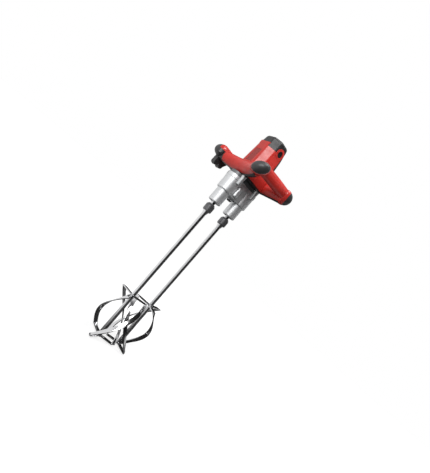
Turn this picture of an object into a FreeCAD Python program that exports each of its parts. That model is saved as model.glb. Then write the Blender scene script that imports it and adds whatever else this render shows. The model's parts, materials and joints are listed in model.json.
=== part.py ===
"""Hand-held mixing drill with two counter-rotating stirrers.

Millimetres. The origin is on the motor's axis, midway between the two grips.
+Z points up towards the motor cap. X runs along the grips and along the line of the two spindles.
"""

import FreeCAD, Part
import math
import os

V = FreeCAD.Vector
UP = V(0, 0, 1)

# Handle frame
GRIP_LENGTH = 164.0  # corner to corner along X
GRIP_SPACING = 232.0  # right grip to left grip along Y
CORNER_SPLAY = 0.72  # below 1, the bumpers face more along the grips than the corners lie
CORNER_RISE = 6.5  # mean height of the corners above the origin
CORNER_LIFT = 3.5  # two opposite corners stand this much higher, the other two lower
GRIP_RISE = 6.0  # a grip's axis above its corners
ARM_DROP = 9.0  # an arm's axis below its corners
ARM_SINK = 3.0  # how far inside the hub's face the middle of an arm's axis lies
ARM_HALF_WIDTH = 18.0
ARM_MID_HALF_HEIGHT = 26.0
ARM_END_HALF_HEIGHT = 18.5
ARM_SECTIONS = 7
ARM_BASE_HEIGHT = 2.0  # the black underside strip of an arm
HUB_CORNER = 15.0
HUB_TOP = 25.0
HUB_BOTTOM = -29.5
BASE_HEIGHT = 5.0
EDGE_ROUND = 7.0

# Corner knobs and their bumpers: ovals that lean up towards the grip
KNOB_REACH = 25.0  # outward from the corner
KNOB_LONG = 33.5
KNOB_SHORT = 23.0
KNOB_LEAN = 28.0  # degrees
BUMPER_REACH = 28.0
BUMPER_RIM = 0.7  # how far the bumper's edge stands in from the knob's
BUMPER_SEAT = 9.0  # from the corner's centre to the bumper's flat back
PLUG_R = 8.0
PLUG_LENGTH = 4.0

# Grips
GRIP_MID_R = 20.5
GRIP_END_R = 18.5
GRIP_WALL = 3.2
SPIGOT_START = 4.0
SHROUD_R = 30.0  # the black shroud round the trigger, about its corner
SPIGOT_REACH = 40.0  # from the corner to the end of the spigot inside the grip

# Switch and trigger, along the left grip from its front corner
TRIGGER_WIDTH = 22.0
TRIGGER_START = -1.0
TRIGGER_LENGTH = 58.0
TRIGGER_DROP = 61.0  # lowest point below the grip's axis
TRIGGER_TOP = -23.0
TRIGGER_PIVOT_DROP = 11.0
TRIGGER_PIN_R = 2.5
TRIGGER_PIN_LENGTH = 29.0
SWITCH_HEIGHT = 8.5
SWITCH_LIFT = 0.5

# Motor housing and cap
MOTOR_WIDTH_BOTTOM = 106.0
MOTOR_WIDTH_TOP = 96.0
MOTOR_CORNER = 25.0
MOTOR_EDGE_ROUND = 15.0
MOTOR_TOP = 105.0
CAP_WIDTH_TOP = 88.0
CAP_TOP = 150.0
CAP_ROUND = 14.0
CAP_ROUND_STEPS = 8
CAP_WALL = 4.0
REAR_COVER_DEPTH = 33.0  # the black rear cover, from the rear face forward
VENT_COUNT = 7
VENT_HEIGHT = 4.0
VENT_PITCH = 9.5
VENT_WIDTH = 34.0
LABEL_WIDTH = 30.0
LABEL_HEIGHT = 56.0
LABEL_DEPTH = 0.8
TAB_HEIGHT = 14.0  # the housing's tongue that rises into the cap above the label

# Motor
MOTOR_WALL = 12.0
STATOR_BORE_R = 20.6
STATOR_LENGTH = 42.0
STATOR_BOTTOM = 44.0
COIL_SLOT = 15.0
COIL_LENGTH = 52.0
CORE_R = 20.0
ROTOR_SHAFT_R = 5.0
PINION_BORE_R = 3.5
FAN_GAP = 3.0
FAN_HUB_R = 11.0
FAN_BOTTOM = 28.0
FAN_HEIGHT = 9.0
FAN_BLADES = 11
FAN_BLADE_THICKNESS = 2.0
COMMUTATOR_R = 12.0
COMMUTATOR_LENGTH = 14.0
BRUSH_Z = 110.5
BRUSH_WIDTH = 7.0
BRUSH_HEIGHT = 11.0
BRUSH_BOSS_R = 18.5
BRUSH_BOSS_DROP = 16.0
BRUSH_BOSS_PROUD = 0.8
BRUSH_CAP_R = 9.0
HOLDER_R = 11.5
HOLDER_LENGTH = 14.0
HOLDER_SINK = 1.5  # below the boss
BRUSH_CAP_DEPTH = 6.0
MOTOR_BEARING_R = 13.0
MOTOR_BEARING_H = 9.0

# Gears: one module for the whole train
MODULE = 1.25
PRESSURE_DEG = 25.0
ADDENDUM = 0.8  # in modules
DEDENDUM = 1.05  # in modules
TOOTH_THINNING = 0.16
MOTOR_TEETH = 10
COUNTER_TEETH = 30
COUNTER_PINION_TEETH = 10
CENTRE_TEETH = 30
LEFT_TEETH = 42
CENTRE_PINION_TEETH = 20
IDLER_TEETH = 14
RIGHT_TEETH = 28
LOW_FACE = 12.0
HIGH_FACE = 14.0
TOP_FACE = 10.0
LEVEL_GAP = 4.0

# Gear case
PLATE_HEIGHT = 12.5
CASE_HEIGHT = 64.0
CASE_FLOOR = 4.0
CASE_WALL = 2.8
GEAR_ROOM = 1.0  # from a gear's tips to the case
BARREL_R = 25.0
BARREL_LENGTH = 52.0
LUG_R = 10.5
LUG_TIP_R = 5.5
LUG_LENGTH = 34.0
LUG_X = 44.0
LUG_Y = 34.5
CASE_SCREW_R = 3.0
CASE_HEAD_R = 4.4
CASE_PLUG_R = 8.7
CASE_PLUG_HEIGHT = 4.0
CENTRE_BOSS_R = 14.0
CENTRE_BOSS_DROP = 8.0
FRONT_BOSS_R = 11.0
FRONT_BOSS_X = -12.0
FRONT_BOSS_OUT = 9.0  # past the web
FLANGE_HEIGHT = 15.0
FLANGE_OUT = 1.6
CASE_CHAMFER = 2.5
FRONT_BOSS_HEIGHT = 35.0
FRONT_BOSS_LIFT = 7.0
HOUSING_SCREW_WALL = 2.5
HOUSING_SCREW_R = 2.5
HOUSING_SCREW_TOP = 60.0

# Shafts and bearings
SPINDLE_R = 10.0
NECK_R = 8.5
SPINDLE_BEARING_R = 20.0
SPINDLE_BEARING_H = 12.0
BARREL_LIP = 7.0
SEAL_R = 14.0
COUNTERSHAFT_R = 4.0
CENTRE_SHAFT_R = 5.0
SMALL_BEARING_R = 8.0
CENTRE_BEARING_R = 10.0
SMALL_BEARING_H = 8.0
IDLER_PIN_R = 3.5
RUNNING = 0.04  # radial clearance of a shaft in its bearing
CLEARANCE = 0.2

# Couplings and stirrers
NECK_LENGTH = 10.0
COUPLING_R = 17.0
COUPLING_LENGTH = 31.0
COUPLING_CHAMFER = 3.0
COUPLING_SHOULDER = 7.0
STIRRER_R = 8.0
STIRRER_COLLAR_R = 12.0
STIRRER_COLLAR_LENGTH = 12.0
STIRRER_LENGTH = 581.0  # from its seat in the coupling to the foot
CAGE_HEIGHT = 176.0
CAGE_CORNER_R = 56.0
CAGE_BULGE = 8.0
CAGE_HEAD_ROUND = 16.0
CAGE_FOOT_ROUND = 24.0
BLADE_COUNT = 3
BLADE_WIDTH = 14.0
BLADE_THICKNESS = 4.0
BLADE_ROOT = 0.65  # where a blade's arms begin, as a share of the shaft's radius
BLADE_TURN = 140.0  # degrees that a blade winds from its top to its foot
LEFT_BLADE_ANGLE = -10.0
RUN_STEPS = 16
BEND_STEPS = 4

# Cord gland
GLAND_BORE_R = 4.25
GLAND_R = 8.0
GLAND_FLANGE_R = 11.0
GLAND_LENGTH = 22.0
GLAND_FLANGE = 4.0

# Places worked out from the sizes above
CORNERS = {
    "front_right": V(-GRIP_LENGTH / 2, -GRIP_SPACING / 2, CORNER_RISE - CORNER_LIFT),
    "rear_right": V(GRIP_LENGTH / 2, -GRIP_SPACING / 2, CORNER_RISE + CORNER_LIFT),
    "rear_left": V(GRIP_LENGTH / 2, GRIP_SPACING / 2, CORNER_RISE - CORNER_LIFT),
    "front_left": V(-GRIP_LENGTH / 2, GRIP_SPACING / 2, CORNER_RISE + CORNER_LIFT),
}
TRIGGER_CORNER = "front_left"
HUB_WIDTH = MOTOR_WIDTH_BOTTOM
ARM_BOW = HUB_WIDTH / 2 - ARM_SINK  # from the motor's axis to the middle of each curved arm
REAR_COVER_X = MOTOR_WIDTH_BOTTOM / 2 - REAR_COVER_DEPTH
STATOR_R = MOTOR_WIDTH_TOP / 2 - MOTOR_WALL
FAN_R = STATOR_R - FAN_GAP
HOUSING_SCREW_XY = (STATOR_R + HOUSING_SCREW_R + HOUSING_SCREW_WALL) / math.sqrt(2)
PLATE_TOP = HUB_BOTTOM
CASE_TOP = PLATE_TOP - PLATE_HEIGHT
CASE_BOTTOM = CASE_TOP - CASE_HEIGHT
CASE_FLOOR_Z = CASE_BOTTOM + CASE_FLOOR
BARREL_BOTTOM = CASE_BOTTOM - BARREL_LENGTH
LOW_Z = CASE_FLOOR_Z + LEVEL_GAP
HIGH_Z = LOW_Z + LOW_FACE + LEVEL_GAP
TOP_Z = HUB_BOTTOM + BASE_HEIGHT + 1.5
DECK_Z = TOP_Z + TOP_FACE + 2.5
BORE_R = SPINDLE_BEARING_R
COUPLING_TOP = BARREL_BOTTOM - NECK_LENGTH
COUPLING_BOTTOM = COUPLING_TOP - COUPLING_LENGTH
STIRRER_TOP = COUPLING_TOP - COUPLING_LENGTH / 2
STIRRER_BOTTOM = STIRRER_TOP - STIRRER_LENGTH
CAGE_BOTTOM = STIRRER_BOTTOM + BLADE_THICKNESS
CAGE_TOP = CAGE_BOTTOM + CAGE_HEIGHT


def pitch_r(teeth):
    return MODULE * teeth / 2


def tip_r(teeth):
    return pitch_r(teeth) + ADDENDUM * MODULE


def axis_spacing(teeth_a, teeth_b):
    return pitch_r(teeth_a) + pitch_r(teeth_b)


SPINDLE_X = axis_spacing(CENTRE_TEETH, LEFT_TEETH)
COUNTER_Y = axis_spacing(MOTOR_TEETH, COUNTER_TEETH)
LEFT_XY = (-SPINDLE_X, 0.0)
RIGHT_XY = (SPINDLE_X, 0.0)
CENTRE_XY = (0.0, 0.0)
COUNTER_XY = (0.0, COUNTER_Y)
TO_IDLER = axis_spacing(CENTRE_PINION_TEETH, IDLER_TEETH)
IDLER_TO_RIGHT = axis_spacing(IDLER_TEETH, RIGHT_TEETH)
IDLER_X = (TO_IDLER**2 - IDLER_TO_RIGHT**2 + SPINDLE_X**2) / (2 * SPINDLE_X)
IDLER_XY = (IDLER_X, -math.sqrt(TO_IDLER**2 - IDLER_X**2))
CAVITY_R = tip_r(LEFT_TEETH) + GEAR_ROOM
CASE_R = CAVITY_R + CASE_WALL
WEB_HALF = tip_r(CENTRE_TEETH) + GEAR_ROOM


# Shared shapes


def cylinder(radius, z0, z1, xy=(0.0, 0.0)):
    return Part.makeCylinder(radius, z1 - z0, V(xy[0], xy[1], z0))


def ring(outer_r, inner_r, z0, z1, xy=(0.0, 0.0)):
    return cylinder(outer_r, z0, z1, xy).cut(cylinder(inner_r, z0, z1, xy))


def largest(shape):
    """The biggest solid of a shape, without any shaving left by a cut."""
    return max(shape.Solids, key=lambda solid: solid.Volume)


def rod(radius, start, end):
    return Part.makeCylinder(radius, (end - start).Length, start, end - start)


def block(low, high):
    return Part.makeBox(high[0] - low[0], high[1] - low[1], high[2] - low[2], V(*low))


def fuse(shapes):
    shapes = list(shapes)
    return shapes[0].multiFuse(shapes[1:]).removeSplitter()


def cut(shape, tools):
    return shape.cut(Part.makeCompound(list(tools)))


def revolve_profile(points, start=V(0, 0, 0), direction=UP):
    """Turns (radius, height) points about the Z axis, then stands the result on start along direction."""
    wire = Part.makePolygon([V(r, 0, h) for r, h in points + points[:1]])
    solid = Part.Face(wire).revolve(V(0, 0, 0), UP, 360)
    return place_along(solid, start, direction)


def place_along(shape, start, direction):
    shape = shape.copy()
    turn = FreeCAD.Rotation(UP, direction)
    shape.Placement = FreeCAD.Placement(start, turn).multiply(shape.Placement)
    return shape


def rounded_wire(points, radius, z):
    """A closed outline through points at height z, with each corner rounded to radius."""
    edges = []
    count = len(points)
    ends = []
    for i in range(count):
        here = V(points[i][0], points[i][1], z)
        back = V(points[i - 1][0], points[i - 1][1], z) - here
        ahead = V(points[(i + 1) % count][0], points[(i + 1) % count][1], z) - here
        half = back.getAngle(ahead) / 2
        reach = radius / math.tan(half)
        back.normalize()
        ahead.normalize()
        middle = back + ahead
        middle.normalize()
        centre = here + middle * (radius / math.sin(half))
        ends.append((here + back * reach, centre - middle * radius, here + ahead * reach))
    for i in range(count):
        first, mid, last = ends[i]
        edges.append(Part.Arc(first, mid, last).toShape())
        edges.append(Part.LineSegment(last, ends[(i + 1) % count][0]).toShape())
    return Part.Wire(edges)


def octagon_wire(width, corner, z, radius=EDGE_ROUND):
    h = width / 2
    k = h - corner
    points = [(h, -k), (h, k), (k, h), (-k, h), (-h, k), (-h, -k), (-k, -h), (k, -h)]
    return rounded_wire(points, radius, z)


def octagon_block(width0, width1, corner, z0, z1, radius=EDGE_ROUND):
    wires = [octagon_wire(width0, corner, z0, radius), octagon_wire(width1, corner, z1, radius)]
    return Part.makeLoft(wires, True, True)


def motor_width(z):
    share = (z - HUB_TOP) / (MOTOR_TOP - HUB_TOP)
    return MOTOR_WIDTH_BOTTOM + share * (MOTOR_WIDTH_TOP - MOTOR_WIDTH_BOTTOM)


# Handle frame


def oval_wire(centre, wide, half_width, half_height):
    """An upright oval about centre, half_width along the unit vector wide."""
    tall = UP * half_height
    broad = wide * half_width
    if half_height >= half_width:
        return Part.Wire(Part.Ellipse(centre + tall, centre + broad, centre).toShape())
    return Part.Wire(Part.Ellipse(centre + broad, centre - tall, centre).toShape())


def arm_axis_z():
    return CORNER_RISE - ARM_DROP


def arm_stations():
    """Stations along the front arm: centre, unit vector across the arm and half height."""
    half_span = GRIP_SPACING / 2
    sag = GRIP_LENGTH / 2 - ARM_BOW
    bow_r = (half_span**2 + sag**2) / (2 * sag)
    half_turn = math.asin(half_span / bow_r)
    stations = []
    for i in range(ARM_SECTIONS):
        share = 2 * i / (ARM_SECTIONS - 1) - 1
        turn = share * half_turn
        x = -(ARM_BOW + bow_r - bow_r * math.cos(turn))
        y = bow_r * math.sin(turn)
        z = arm_axis_z() + CORNER_LIFT * y / half_span
        height = ARM_MID_HALF_HEIGHT + (ARM_END_HALF_HEIGHT - ARM_MID_HALF_HEIGHT) * share**2
        stations.append((V(x, y, z), V(math.cos(turn), math.sin(turn), 0), height))
    return stations


def turned(shape, side):
    """The front arm's shape as it is, or turned half round for the rear arm."""
    if side > 0:
        shape.rotate(V(0, 0, 0), UP, 180)
    return shape


def bowed_arm(side):
    """One curved arm between two corners, bowed in to the hub. Side is -1 at the front, 1 at the rear."""
    sections = [oval_wire(centre, wide, ARM_HALF_WIDTH, height) for centre, wide, height in arm_stations()]
    return turned(Part.makeLoft(sections, True, False), side)


def under_arm(side):
    """The space below the line where an arm's black underside strip begins."""
    stations = arm_stations()
    line = [V(0, centre.y, centre.z - height + ARM_BASE_HEIGHT) for centre, _, height in stations]
    low = V(0, 0, -GRIP_SPACING)
    outline = [line[0] + low] + line + [line[-1] + low]
    face = Part.Face(Part.makePolygon(outline + outline[:1]))
    return turned(face.extrude(V(-GRIP_LENGTH, 0, 0)), side)


def outward(corner):
    """The level direction in which a corner's bumper faces."""
    direction = V(corner.x, corner.y * CORNER_SPLAY, 0)
    return direction.normalize()


def beyond(corner, distance, size=200.0):
    """Everything past a plane that faces outward at distance from the corner."""
    slab = Part.makeBox(size, size, size, V(-size / 2, -size / 2, 0))
    return place_along(slab, corner + outward(corner) * distance, outward(corner))


def corner_oval(corner, reach, long_r, short_r):
    """An egg-shaped ball about a corner, longest along a line that leans up towards the grip."""
    out = outward(corner)
    level = UP.cross(out)
    if level.x * corner.x > 0:
        level = level * -1
    lean = math.radians(KNOB_LEAN)
    long_way = level * math.cos(lean) + UP * math.sin(lean)
    short_way = out.cross(long_way)
    unit = 10.0
    a, b, c = out * (reach / unit), long_way * (long_r / unit), short_way * (short_r / unit)
    matrix = FreeCAD.Matrix(
        a.x, b.x, c.x, corner.x,
        a.y, b.y, c.y, corner.y,
        a.z, b.z, c.z, corner.z,
        0, 0, 0, 1,
    )
    return Part.makeSphere(unit).transformGeometry(matrix)


def knob(name):
    return corner_oval(CORNERS[name], KNOB_REACH, KNOB_LONG, KNOB_SHORT)


def shroud_space():
    """The round space below the trigger's corner that the black shroud fills."""
    corner = CORNERS[TRIGGER_CORNER]
    return cylinder(SHROUD_R, corner.z - 2 * KNOB_LONG, corner.z, (corner.x, corner.y))


def grip_axis(side):
    """Start, end and unit direction of a grip: side -1 is the right grip, 1 the left."""
    names = ("front_right", "rear_right") if side < 0 else ("front_left", "rear_left")
    start, end = (CORNERS[name] + UP * GRIP_RISE for name in names)
    direction = end - start
    return start, end, direction.normalize()


def hub_column(bottom=HUB_BOTTOM, top=HUB_TOP):
    return octagon_block(HUB_WIDTH, HUB_WIDTH, HUB_CORNER, bottom, top)


def gland_bore():
    return rod(GLAND_R, V(ARM_BOW - ARM_HALF_WIDTH, 0, 0), V(GRIP_LENGTH, 0, 0))


def cut_knob(name):
    """A knob with its flat and its socket for the bumper."""
    corner = CORNERS[name]
    facing = outward(corner)
    flat = knob(name).cut(beyond(corner, BUMPER_SEAT))
    socket_end = corner + facing * (BUMPER_SEAT - PLUG_LENGTH)
    return flat.cut(rod(PLUG_R + CLEARANCE, socket_end, corner + facing * KNOB_REACH))


def make_frame_arm(side):
    """A curved arm with a knob at each end and a spigot for each grip."""
    names = ("front_right", "front_left") if side < 0 else ("rear_right", "rear_left")
    arm = bowed_arm(side)
    if side > 0:
        arm = arm.cut(gland_bore())
    arm = arm.cut(under_arm(side)).cut(hub_column(HUB_BOTTOM - BASE_HEIGHT))
    pieces = []
    for name, grip_side in zip(names, (-1, 1)):
        start, end, along = grip_axis(grip_side)
        inner_r = GRIP_END_R - GRIP_WALL - CLEARANCE
        root = start if side < 0 else end
        inward = along * -side
        spigot = rod(inner_r, root + inward * SPIGOT_START, root + inward * SPIGOT_REACH)
        ball = cut_knob(name)
        if name == TRIGGER_CORNER:
            arm = arm.cut(shroud_space())
            spigot = spigot.cut(shroud_space())
            ball = ball.cut(shroud_space())
        pieces += [ball, spigot]
    shape = arm
    for piece in pieces:
        shape = shape.fuse(piece)
    if TRIGGER_CORNER in names:
        shape = shape.cut(trigger_slot())
    return largest(shape)


def make_frame_hub():
    """The middle of the handle frame: the motor stands on it, and the first gear pair runs inside it."""
    tools = [
        cylinder(tip_r(COUNTER_TEETH) + GEAR_ROOM, HUB_BOTTOM, DECK_Z, COUNTER_XY),
        cylinder(tip_r(MOTOR_TEETH) + 2 * GEAR_ROOM, HUB_BOTTOM, DECK_Z),
        cylinder(ROTOR_SHAFT_R + 2, DECK_Z, HUB_TOP),
        cylinder(MOTOR_BEARING_R, HUB_TOP - MOTOR_BEARING_H, HUB_TOP),
        gland_bore(),
    ]
    for x, y in screw_places(LUG_X, LUG_Y):
        tools.append(cylinder(CASE_SCREW_R, HUB_BOTTOM, DECK_Z, (x, y)))
        tools.append(cylinder(CASE_HEAD_R + CLEARANCE, DECK_Z, HUB_TOP, (x, y)))
    for x, y in screw_places(HOUSING_SCREW_XY, HOUSING_SCREW_XY):
        tools.append(cylinder(HOUSING_SCREW_R, HUB_BOTTOM, HUB_TOP, (x, y)))
        tools.append(cylinder(2 * HOUSING_SCREW_R, HUB_BOTTOM, DECK_Z + HOUSING_SCREW_R, (x, y)))
    return cut(hub_column(HUB_BOTTOM + BASE_HEIGHT), tools)


def make_frame_base():
    """The black underside: a plate below the hub and a strip below each arm."""
    top = HUB_BOTTOM + BASE_HEIGHT
    pieces = [hub_column(HUB_BOTTOM, top)]
    knobs = [knob(name) for name in CORNERS]
    for side in (-1, 1):
        strip = bowed_arm(side).common(under_arm(side))
        pieces.append(cut(strip, knobs + [hub_column(HUB_BOTTOM - BASE_HEIGHT), shroud_space()]))
    tools = [cylinder(COUNTERSHAFT_R + 2, HUB_BOTTOM, top, COUNTER_XY), trigger_slot()]
    tools.append(cylinder(ROTOR_SHAFT_R + 2, HUB_BOTTOM, top))
    for x, y in screw_places(LUG_X, LUG_Y):
        tools.append(cylinder(CASE_SCREW_R, HUB_BOTTOM, top, (x, y)))
    return cut(fuse(pieces), tools)


def screw_places(x, y):
    return [(i * x, j * y) for i in (-1, 1) for j in (-1, 1)]


# Grips


def grip_solid(side, inset):
    """A barrel-shaped bar between two corners, smaller by inset all round."""
    start, end, along = grip_axis(side)
    length = (end - start).Length
    ends, middle = GRIP_END_R - inset, GRIP_MID_R - inset
    curve = Part.Arc(V(ends, 0, 0), V(middle, 0, length / 2), V(ends, 0, length)).toShape()
    rest = Part.makePolygon([V(ends, 0, length), V(0, 0, length), V(0, 0, 0), V(ends, 0, 0)])
    face = Part.Face(Part.Wire([curve] + rest.Edges))
    return grip_frame(face.revolve(V(0, 0, 0), UP, 360), side)


def grip_frame(shape, side):
    """Places a shape drawn along Z, with X down, on a grip's axis."""
    start, end, along = grip_axis(side)
    across = V(0, 1, 0)
    down = across.cross(along)
    matrix = FreeCAD.Matrix(
        down.x, across.x, along.x, start.x,
        down.y, across.y, along.y, start.y,
        down.z, across.z, along.z, start.z,
        0, 0, 0, 1,
    )
    placed = shape.copy()
    placed.Placement = FreeCAD.Placement(matrix).multiply(placed.Placement)
    return placed


def down_side(side, sign):
    """The half space below a grip's axis for sign 1, above it for -1."""
    size = 2 * GRIP_LENGTH
    low = 0.0 if sign > 0 else -size
    return grip_frame(Part.makeBox(size, size, size, V(low, -size / 2, -size / 4)), side)


def grip_tube(side):
    start, end, along = grip_axis(side)
    tube = grip_solid(side, 0.0).cut(grip_solid(side, GRIP_WALL))
    names = ("front_right", "rear_right") if side < 0 else ("front_left", "rear_left")
    return cut(tube, [knob(name) for name in names] + [bowed_arm(-1), bowed_arm(1)])


def make_grip(side, sign):
    half = grip_tube(side).common(down_side(side, sign))
    if side > 0 and sign > 0:
        half = cut(half, [trigger_slot(), trigger_pin_rod()])
    return half


def trigger_slot():
    """The opening under the left grip that the trigger moves in."""
    half_width = TRIGGER_WIDTH / 2 + 2 * CLEARANCE
    start = V(-1, -half_width, TRIGGER_START - 4)
    return grip_frame(Part.makeBox(3 * GRIP_MID_R, 2 * half_width, TRIGGER_LENGTH + 16, start), 1)


def make_switch_shroud():
    """The black lower half of the front left knob, open below for the trigger."""
    space = shroud_space()
    arm_end = bowed_arm(-1).common(space)
    cheeks = cut_knob(TRIGGER_CORNER).common(space).fuse(arm_end)
    return cheeks.cut(trigger_slot())


# Trigger and switch, drawn along Z from the front left corner with X down


def trigger_pivot():
    return V(TRIGGER_PIVOT_DROP, 0, TRIGGER_START + TRIGGER_LENGTH)


def trigger_pin_rod():
    half = V(0, TRIGGER_PIN_LENGTH / 2, 0)
    return grip_frame(rod(TRIGGER_PIN_R, trigger_pivot() - half, trigger_pivot() + half), 1)


def make_trigger():
    """A finger lever with two rounded lobes and a scallop between them."""
    first, last = TRIGGER_START, TRIGGER_START + TRIGGER_LENGTH
    top, drop = -TRIGGER_TOP, TRIGGER_DROP
    lobe = 0.17 * TRIGGER_LENGTH
    edge = TRIGGER_PIN_R + 3.2
    shoulder = drop - lobe
    corner_a = V(shoulder, 0, first)
    corner_b = V(shoulder, 0, first + 2 * lobe)
    corner_c = V(shoulder + 1, 0, first + 2.6 * lobe)
    corner_d = V(shoulder - 5, 0, first + 4.4 * lobe)
    tail = V(TRIGGER_PIVOT_DROP, 0, last + edge)
    edges = [
        Part.LineSegment(V(top, 0, first), corner_a).toShape(),
        Part.Arc(corner_a, V(drop, 0, first + lobe), corner_b).toShape(),
        Part.Arc(corner_b, V(shoulder - 2.0, 0, first + 2.3 * lobe), corner_c).toShape(),
        Part.Arc(corner_c, V(drop - 3, 0, first + 3.4 * lobe), corner_d).toShape(),
        Part.LineSegment(corner_d, V(TRIGGER_PIVOT_DROP + edge, 0, last)).toShape(),
        Part.Arc(
            V(TRIGGER_PIVOT_DROP + edge, 0, last), tail, V(TRIGGER_PIVOT_DROP - edge, 0, last)
        ).toShape(),
        Part.LineSegment(V(TRIGGER_PIVOT_DROP - edge, 0, last), V(top, 0, first)).toShape(),
    ]
    face = Part.Face(Part.Wire(edges))
    face.translate(V(0, -TRIGGER_WIDTH / 2, 0))
    lever = face.extrude(V(0, TRIGGER_WIDTH, 0))
    bore_half = V(0, TRIGGER_WIDTH, 0)
    bore = rod(TRIGGER_PIN_R + RUNNING, trigger_pivot() - bore_half, trigger_pivot() + bore_half)
    half = TRIGGER_WIDTH / 2
    outline = [(-drop, -half), (drop, -half), (drop, half), (-drop, half)]
    section = Part.Face(rounded_wire(outline, 0.6 * half, first))
    lever = lever.common(section.extrude(V(0, 0, 2 * TRIGGER_LENGTH)))
    return grip_frame(lever.cut(bore), 1)


def make_switch_body():
    inner_r = GRIP_END_R - GRIP_WALL
    top = SWITCH_LIFT + SWITCH_HEIGHT
    half = math.sqrt(inner_r**2 - top**2)
    first = SPIGOT_REACH + 1
    box = Part.makeBox(SWITCH_HEIGHT, 2 * half, TRIGGER_LENGTH - 14, V(-top, -half, first))
    return grip_frame(box, 1)


# Bumpers


def make_bumper(name):
    corner = CORNERS[name]
    facing = outward(corner)
    shrink = math.sqrt(1 - (BUMPER_SEAT / KNOB_REACH) ** 2) / math.sqrt(1 - (BUMPER_SEAT / BUMPER_REACH) ** 2)
    long_r = KNOB_LONG * shrink - BUMPER_RIM
    short_r = KNOB_SHORT * shrink - BUMPER_RIM
    cap = corner_oval(corner, BUMPER_REACH, long_r, short_r).common(beyond(corner, BUMPER_SEAT))
    start = corner + facing * (BUMPER_SEAT - PLUG_LENGTH + CLEARANCE)
    bumper = fuse([cap, rod(PLUG_R, start, corner + facing * (BUMPER_SEAT + 1))])
    if name == TRIGGER_CORNER:
        bumper = bumper.cut(trigger_slot())
    return bumper


# Motor housing, rear cover and cap


def motor_shell():
    """The housing with its brush bosses, before it is divided into the housing and the rear cover."""
    body = octagon_block(
        MOTOR_WIDTH_BOTTOM, MOTOR_WIDTH_TOP, MOTOR_CORNER, HUB_TOP, MOTOR_TOP, MOTOR_EDGE_ROUND
    )
    pieces = [body, cap_tab()] + [brush_boss(sign) for sign in (-1, 1)]
    shell = fuse(pieces)
    tools = [cylinder(STATOR_R, HUB_TOP, MOTOR_TOP)]
    for sign in (-1, 1):
        tools.append(brush_bore(sign))
    for x, y in screw_places(HOUSING_SCREW_XY, HOUSING_SCREW_XY):
        tools.append(cylinder(HOUSING_SCREW_R, HUB_TOP, HOUSING_SCREW_TOP, (x, y)))
    return cut(shell, tools)


def brush_face_y():
    """The face of the brush bosses, a little proud of the housing at their lower end."""
    return motor_width(BRUSH_Z - BRUSH_BOSS_DROP) / 2 + BRUSH_BOSS_PROUD


def brush_boss(sign, extra=0.0, proud=0.0):
    """The shield-shaped boss round a brush cap, on the side that faces a grip."""
    bottom = BRUSH_Z - BRUSH_BOSS_DROP
    outer = brush_face_y() + proud
    inner = motor_width(BRUSH_Z) / 2 - CAP_WALL - 2
    radius = BRUSH_BOSS_R + extra
    arch = rod(radius, V(0, sign * inner, BRUSH_Z), V(0, sign * outer, BRUSH_Z))
    low, high = sorted((sign * inner, sign * outer))
    leg = block((-radius, low, bottom), (radius, high, BRUSH_Z))
    return fuse([arch, leg])


def cap_tab(extra=0.0, proud=0.0):
    """The housing's tongue above the label, let into the cap."""
    outer = motor_width(MOTOR_TOP) / 2 - 0.3 + proud
    half = MOTOR_WIDTH_TOP / 2 - MOTOR_CORNER + extra
    top = MOTOR_TOP + TAB_HEIGHT + extra
    return block((-outer, -half, MOTOR_TOP - 1), (-outer + CAP_WALL + proud, half, top))


def brush_bore(sign):
    reach = brush_face_y() + 3
    return rod(HOLDER_R, V(0, sign * (brush_face_y() - HOLDER_LENGTH), BRUSH_Z), V(0, sign * reach, BRUSH_Z))


def rear_half():
    size = 3 * MOTOR_WIDTH_BOTTOM
    return Part.makeBox(size, size, size, V(REAR_COVER_X, -size / 2, HUB_TOP - size / 4))


def make_motor_housing():
    housing = motor_shell().cut(rear_half())
    depth = V(-MOTOR_WIDTH_BOTTOM / 2, 0, HUB_TOP)
    slope = math.degrees(
        math.atan2((MOTOR_WIDTH_BOTTOM - MOTOR_WIDTH_TOP) / 2, MOTOR_TOP - HUB_TOP)
    )
    panel = Part.makeBox(2 * LABEL_DEPTH, LABEL_WIDTH, LABEL_HEIGHT, V(-LABEL_DEPTH, -LABEL_WIDTH / 2, 3))
    panel.rotate(V(0, 0, 0), V(0, 1, 0), slope)
    panel.translate(depth)
    return housing.cut(panel)


def make_rear_cover():
    """The black cover over the motor's rear, with a stack of air slots."""
    cover = motor_shell().common(rear_half())
    tools = []
    first = (HUB_TOP + MOTOR_TOP - (VENT_COUNT - 1) * VENT_PITCH) / 2
    for i in range(VENT_COUNT):
        z = first + i * VENT_PITCH
        tools.append(block(
            (REAR_COVER_X, -VENT_WIDTH / 2, z - VENT_HEIGHT / 2),
            (MOTOR_WIDTH_BOTTOM, VENT_WIDTH / 2, z + VENT_HEIGHT / 2),
        ))
    return cut(cover, tools)


def cap_solid():
    """The cap's outside: straight sides that turn over into a flat top."""
    wires = [octagon_wire(MOTOR_WIDTH_TOP, MOTOR_CORNER, MOTOR_TOP, MOTOR_EDGE_ROUND)]
    for i in range(CAP_ROUND_STEPS + 1):
        turn = math.pi / 2 * i / CAP_ROUND_STEPS
        inset = CAP_ROUND * (1 - math.cos(turn))
        z = CAP_TOP - CAP_ROUND + CAP_ROUND * math.sin(turn)
        corner = MOTOR_CORNER - (2 - math.sqrt(2)) * inset
        wires.append(octagon_wire(CAP_WIDTH_TOP - 2 * inset, corner, z, MOTOR_EDGE_ROUND - inset))
    return Part.makeLoft(wires, True, True)


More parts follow.
